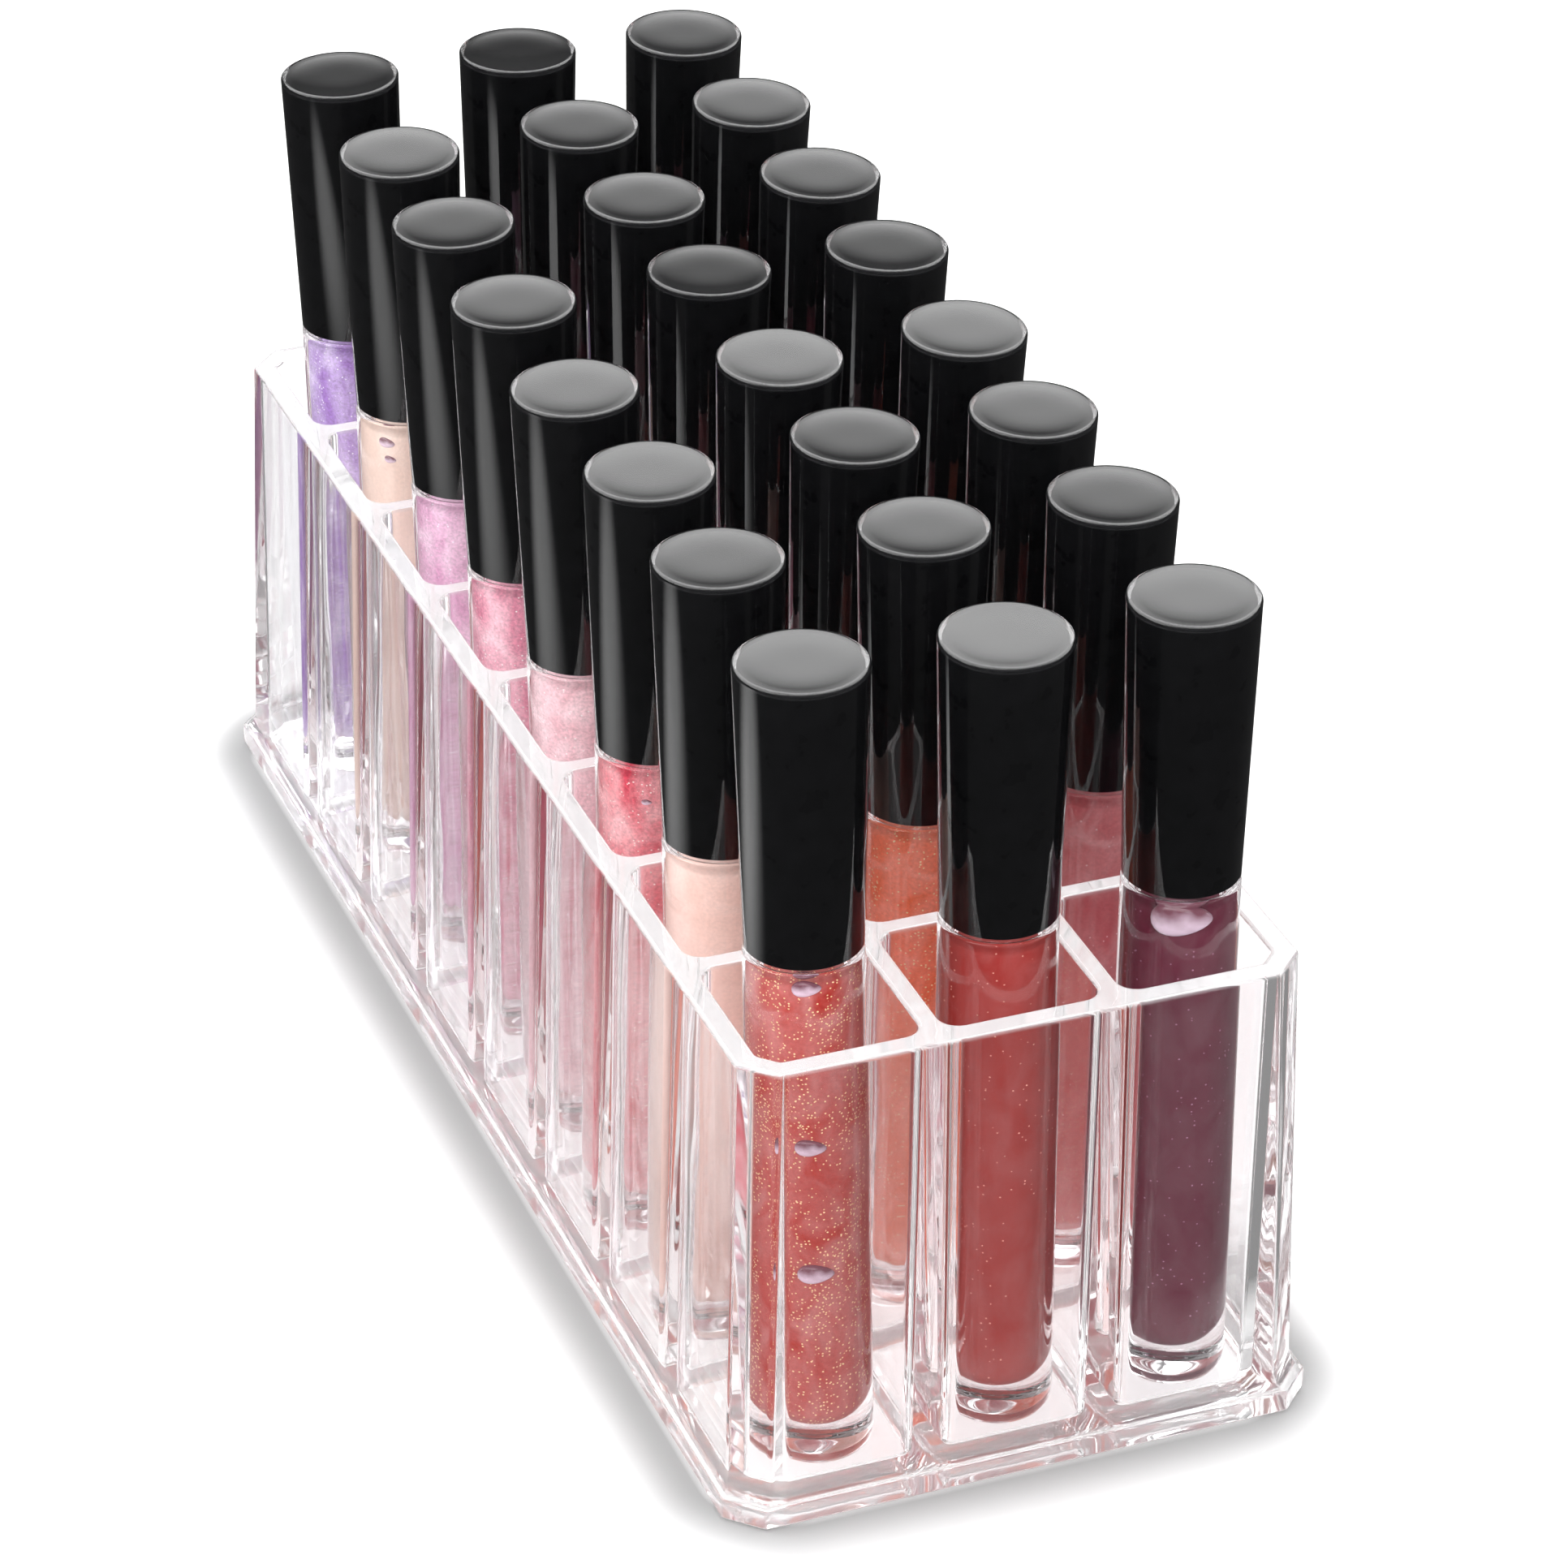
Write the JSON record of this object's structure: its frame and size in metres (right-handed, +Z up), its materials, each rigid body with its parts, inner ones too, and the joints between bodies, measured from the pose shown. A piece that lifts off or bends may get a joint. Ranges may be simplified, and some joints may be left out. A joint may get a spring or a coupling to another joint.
{
  "type": "vanity organizer",
  "caption": "Clear rectangular vanity organizer with an open grid of cells on a flanged foot, each cell holding a lift-out lip gloss tube with a black cap and wand.",
  "frame": {"origin": "on the table, under the middle of the tray", "axes": "+X across the columns of cells, +Y along their rows towards the rear, +Z up"},
  "size_m": [0.0826, 0.22, 0.1171],
  "materials": {
    "clear_acrylic": "clear colourless acrylic, polished",
    "black_cap": "satin black core under a clear polished sleeve",
    "gloss_copper": "thick clear bottle of copper gloss",
    "gloss_pale_peach": "thick clear bottle of pale peach gloss",
    "gloss_coral_rose": "thick clear bottle of coral rose gloss",
    "gloss_light_pink": "thick clear bottle of light pink gloss",
    "gloss_pink": "thick clear bottle of pink gloss",
    "gloss_orchid": "thick clear bottle of orchid gloss",
    "gloss_cream": "thick clear bottle of cream gloss",
    "gloss_lilac": "thick clear bottle of lilac gloss",
    "gloss_brick": "thick clear bottle of brick gloss",
    "gloss_orange_coral": "thick clear bottle of orange coral gloss",
    "gloss_rose_red": "thick clear bottle of rose red gloss",
    "gloss_hot_pink": "thick clear bottle of hot pink gloss",
    "gloss_salmon": "thick clear bottle of salmon gloss",
    "gloss_berry": "thick clear bottle of berry gloss",
    "gloss_dusty_pink": "thick clear bottle of dusty pink gloss",
    "gloss_mauve": "thick clear bottle of mauve gloss",
    "gloss_plum": "thick clear bottle of plum gloss",
    "gloss_rose_brown": "thick clear bottle of rose brown gloss",
    "gloss_rose": "thick clear bottle of rose gloss",
    "gloss_mulberry": "thick clear bottle of mulberry gloss",
    "gloss_nude": "thick clear bottle of nude gloss",
    "gloss_terracotta": "thick clear bottle of terracotta gloss",
    "gloss_cherry": "thick clear bottle of cherry gloss",
    "gloss_raspberry": "thick clear bottle of raspberry gloss"
  },
  "bodies": {
    "tray": {"base_plate": "clear_acrylic", "front_wall": "clear_acrylic", "rear_wall": "clear_acrylic", "left_wall": "clear_acrylic", "right_wall": "clear_acrylic", "long_divider_left": "clear_acrylic", "long_divider_right": "clear_acrylic", "cross_dividers_a": "clear_acrylic", "cross_dividers_b": "clear_acrylic", "cross_dividers_c": "clear_acrylic"},
    "bottle_a1": {"bottle_a1": "gloss_copper"},
    "cap_a1": {"cap_a1": "black_cap"},
    "bottle_a2": {"bottle_a2": "gloss_pale_peach"},
    "cap_a2": {"cap_a2": "black_cap"},
    "bottle_a3": {"bottle_a3": "gloss_coral_rose"},
    "cap_a3": {"cap_a3": "black_cap"},
    "bottle_a4": {"bottle_a4": "gloss_light_pink"},
    "cap_a4": {"cap_a4": "black_cap"},
    "bottle_a5": {"bottle_a5": "gloss_pink"},
    "cap_a5": {"cap_a5": "black_cap"},
    "bottle_a6": {"bottle_a6": "gloss_orchid"},
    "cap_a6": {"cap_a6": "black_cap"},
    "bottle_a7": {"bottle_a7": "gloss_cream"},
    "cap_a7": {"cap_a7": "black_cap"},
    "bottle_a8": {"bottle_a8": "gloss_lilac"},
    "cap_a8": {"cap_a8": "black_cap"},
    "bottle_b1": {"bottle_b1": "gloss_brick"},
    "cap_b1": {"cap_b1": "black_cap"},
    "bottle_b2": {"bottle_b2": "gloss_orange_coral"},
    "cap_b2": {"cap_b2": "black_cap"},
    "bottle_b3": {"bottle_b3": "gloss_rose_red"},
    "cap_b3": {"cap_b3": "black_cap"},
    "bottle_b4": {"bottle_b4": "gloss_hot_pink"},
    "cap_b4": {"cap_b4": "black_cap"},
    "bottle_b5": {"bottle_b5": "gloss_salmon"},
    "cap_b5": {"cap_b5": "black_cap"},
    "bottle_b6": {"bottle_b6": "gloss_berry"},
    "cap_b6": {"cap_b6": "black_cap"},
    "bottle_b7": {"bottle_b7": "gloss_dusty_pink"},
    "cap_b7": {"cap_b7": "black_cap"},
    "bottle_b8": {"bottle_b8": "gloss_mauve"},
    "cap_b8": {"cap_b8": "black_cap"},
    "bottle_c1": {"bottle_c1": "gloss_plum"},
    "cap_c1": {"cap_c1": "black_cap"},
    "bottle_c2": {"bottle_c2": "gloss_rose_brown"},
    "cap_c2": {"cap_c2": "black_cap"},
    "bottle_c3": {"bottle_c3": "gloss_rose"},
    "cap_c3": {"cap_c3": "black_cap"},
    "bottle_c4": {"bottle_c4": "gloss_mulberry"},
    "cap_c4": {"cap_c4": "black_cap"},
    "bottle_c5": {"bottle_c5": "gloss_nude"},
    "cap_c5": {"cap_c5": "black_cap"},
    "bottle_c6": {"bottle_c6": "gloss_terracotta"},
    "cap_c6": {"cap_c6": "black_cap"},
    "bottle_c7": {"bottle_c7": "gloss_cherry"},
    "cap_c7": {"cap_c7": "black_cap"},
    "bottle_c8": {"bottle_c8": "gloss_raspberry"},
    "cap_c8": {"cap_c8": "black_cap"}
  },
  "joints": [
    {"name": "bottle_a1_lift", "type": "slide", "parent": "tray", "child": "bottle_a1", "axis": [-0.0163, 0.0164, 0.9997], "range_m": [0, 0.07]},
    {"name": "cap_a1_pull", "type": "slide", "parent": "bottle_a1", "child": "cap_a1", "axis": [-0.0163, 0.0164, 0.9997], "range_m": [0, 0.075]},
    {"name": "bottle_a2_lift", "type": "slide", "parent": "tray", "child": "bottle_a2", "axis": [-0.0115, 0.0185, 0.9998], "range_m": [0, 0.07]},
    {"name": "cap_a2_pull", "type": "slide", "parent": "bottle_a2", "child": "cap_a2", "axis": [-0.0115, 0.0185, 0.9998], "range_m": [0, 0.075]},
    {"name": "bottle_a3_lift", "type": "slide", "parent": "tray", "child": "bottle_a3", "axis": [-0.0125, -0.0006, 0.9999], "range_m": [0, 0.07]},
    {"name": "cap_a3_pull", "type": "slide", "parent": "bottle_a3", "child": "cap_a3", "axis": [-0.0125, -0.0006, 0.9999], "range_m": [0, 0.075]},
    {"name": "bottle_a4_lift", "type": "slide", "parent": "tray", "child": "bottle_a4", "axis": [-0.0264, -0.0004, 0.9997], "range_m": [0, 0.07]},
    {"name": "cap_a4_pull", "type": "slide", "parent": "bottle_a4", "child": "cap_a4", "axis": [-0.0264, -0.0004, 0.9997], "range_m": [0, 0.075]},
    {"name": "bottle_a5_lift", "type": "slide", "parent": "tray", "child": "bottle_a5", "axis": [-0.0198, 0.0067, 0.9998], "range_m": [0, 0.07]},
    {"name": "cap_a5_pull", "type": "slide", "parent": "bottle_a5", "child": "cap_a5", "axis": [-0.0198, 0.0067, 0.9998], "range_m": [0, 0.075]},
    {"name": "bottle_a6_lift", "type": "slide", "parent": "tray", "child": "bottle_a6", "axis": [-0.0256, 0.0109, 0.9996], "range_m": [0, 0.07]},
    {"name": "cap_a6_pull", "type": "slide", "parent": "bottle_a6", "child": "cap_a6", "axis": [-0.0256, 0.0109, 0.9996], "range_m": [0, 0.075]},
    {"name": "bottle_a7_lift", "type": "slide", "parent": "tray", "child": "bottle_a7", "axis": [-0.0199, -0.0134, 0.9997], "range_m": [0, 0.07]},
    {"name": "cap_a7_pull", "type": "slide", "parent": "bottle_a7", "child": "cap_a7", "axis": [-0.0199, -0.0134, 0.9997], "range_m": [0, 0.075]},
    {"name": "bottle_a8_lift", "type": "slide", "parent": "tray", "child": "bottle_a8", "axis": [-0.0246, 0.017, 0.9996], "range_m": [0, 0.07]},
    {"name": "cap_a8_pull", "type": "slide", "parent": "bottle_a8", "child": "cap_a8", "axis": [-0.0246, 0.017, 0.9996], "range_m": [0, 0.075]},
    {"name": "bottle_b1_lift", "type": "slide", "parent": "tray", "child": "bottle_b1", "axis": [-0.0088, -0.005, 0.9999], "range_m": [0, 0.07]},
    {"name": "cap_b1_pull", "type": "slide", "parent": "bottle_b1", "child": "cap_b1", "axis": [-0.0088, -0.005, 0.9999], "range_m": [0, 0.075]},
    {"name": "bottle_b2_lift", "type": "slide", "parent": "tray", "child": "bottle_b2", "axis": [0.0019, 0.0135, 0.9999], "range_m": [0, 0.07]},
    {"name": "cap_b2_pull", "type": "slide", "parent": "bottle_b2", "child": "cap_b2", "axis": [0.0019, 0.0135, 0.9999], "range_m": [0, 0.075]},
    {"name": "bottle_b3_lift", "type": "slide", "parent": "tray", "child": "bottle_b3", "axis": [0.0216, 0.0073, 0.9997], "range_m": [0, 0.07]},
    {"name": "cap_b3_pull", "type": "slide", "parent": "bottle_b3", "child": "cap_b3", "axis": [0.0216, 0.0073, 0.9997], "range_m": [0, 0.075]},
    {"name": "bottle_b4_lift", "type": "slide", "parent": "tray", "child": "bottle_b4", "axis": [0.0082, -0.0185, 0.9998], "range_m": [0, 0.07]},
    {"name": "cap_b4_pull", "type": "slide", "parent": "bottle_b4", "child": "cap_b4", "axis": [0.0082, -0.0185, 0.9998], "range_m": [0, 0.075]},
    {"name": "bottle_b5_lift", "type": "slide", "parent": "tray", "child": "bottle_b5", "axis": [0.017, 0.013, 0.9998], "range_m": [0, 0.07]},
    {"name": "cap_b5_pull", "type": "slide", "parent": "bottle_b5", "child": "cap_b5", "axis": [0.017, 0.013, 0.9998], "range_m": [0, 0.075]},
    {"name": "bottle_b6_lift", "type": "slide", "parent": "tray", "child": "bottle_b6", "axis": [0.0056, -0.0019, 1], "range_m": [0, 0.07]},
    {"name": "cap_b6_pull", "type": "slide", "parent": "bottle_b6", "child": "cap_b6", "axis": [0.0056, -0.0019, 1], "range_m": [0, 0.075]},
    {"name": "bottle_b7_lift", "type": "slide", "parent": "tray", "child": "bottle_b7", "axis": [0.0088, -0.0082, 0.9999], "range_m": [0, 0.07]},
    {"name": "cap_b7_pull", "type": "slide", "parent": "bottle_b7", "child": "cap_b7", "axis": [0.0088, -0.0082, 0.9999], "range_m": [0, 0.075]},
    {"name": "bottle_b8_lift", "type": "slide", "parent": "tray", "child": "bottle_b8", "axis": [0.004, 0.016, 0.9999], "range_m": [0, 0.07]},
    {"name": "cap_b8_pull", "type": "slide", "parent": "bottle_b8", "child": "cap_b8", "axis": [0.004, 0.016, 0.9999], "range_m": [0, 0.075]},
    {"name": "bottle_c1_lift", "type": "slide", "parent": "tray", "child": "bottle_c1", "axis": [-0.0007, 0.0057, 1], "range_m": [0, 0.07]},
    {"name": "cap_c1_pull", "type": "slide", "parent": "bottle_c1", "child": "cap_c1", "axis": [-0.0007, 0.0057, 1], "range_m": [0, 0.075]},
    {"name": "bottle_c2_lift", "type": "slide", "parent": "tray", "child": "bottle_c2", "axis": [0.0246, 0.0069, 0.9997], "range_m": [0, 0.07]},
    {"name": "cap_c2_pull", "type": "slide", "parent": "bottle_c2", "child": "cap_c2", "axis": [0.0246, 0.0069, 0.9997], "range_m": [0, 0.075]},
    {"name": "bottle_c3_lift", "type": "slide", "parent": "tray", "child": "bottle_c3", "axis": [0.0252, -0.0055, 0.9997], "range_m": [0, 0.07]},
    {"name": "cap_c3_pull", "type": "slide", "parent": "bottle_c3", "child": "cap_c3", "axis": [0.0252, -0.0055, 0.9997], "range_m": [0, 0.075]},
    {"name": "bottle_c4_lift", "type": "slide", "parent": "tray", "child": "bottle_c4", "axis": [0.0271, -0.0231, 0.9994], "range_m": [0, 0.07]},
    {"name": "cap_c4_pull", "type": "slide", "parent": "bottle_c4", "child": "cap_c4", "axis": [0.0271, -0.0231, 0.9994], "range_m": [0, 0.075]},
    {"name": "bottle_c5_lift", "type": "slide", "parent": "tray", "child": "bottle_c5", "axis": [0.0298, -0.0019, 0.9996], "range_m": [0, 0.07]},
    {"name": "cap_c5_pull", "type": "slide", "parent": "bottle_c5", "child": "cap_c5", "axis": [0.0298, -0.0019, 0.9996], "range_m": [0, 0.075]},
    {"name": "bottle_c6_lift", "type": "slide", "parent": "tray", "child": "bottle_c6", "axis": [0.0277, -0.0195, 0.9994], "range_m": [0, 0.07]},
    {"name": "cap_c6_pull", "type": "slide", "parent": "bottle_c6", "child": "cap_c6", "axis": [0.0277, -0.0195, 0.9994], "range_m": [0, 0.075]},
    {"name": "bottle_c7_lift", "type": "slide", "parent": "tray", "child": "bottle_c7", "axis": [0.0252, -0.0246, 0.9994], "range_m": [0, 0.07]},
    {"name": "cap_c7_pull", "type": "slide", "parent": "bottle_c7", "child": "cap_c7", "axis": [0.0252, -0.0246, 0.9994], "range_m": [0, 0.075]},
    {"name": "bottle_c8_lift", "type": "slide", "parent": "tray", "child": "bottle_c8", "axis": [0.0164, -0.0159, 0.9997], "range_m": [0, 0.07]},
    {"name": "cap_c8_pull", "type": "slide", "parent": "bottle_c8", "child": "cap_c8", "axis": [0.0164, -0.0159, 0.9997], "range_m": [0, 0.075]}
  ]
}
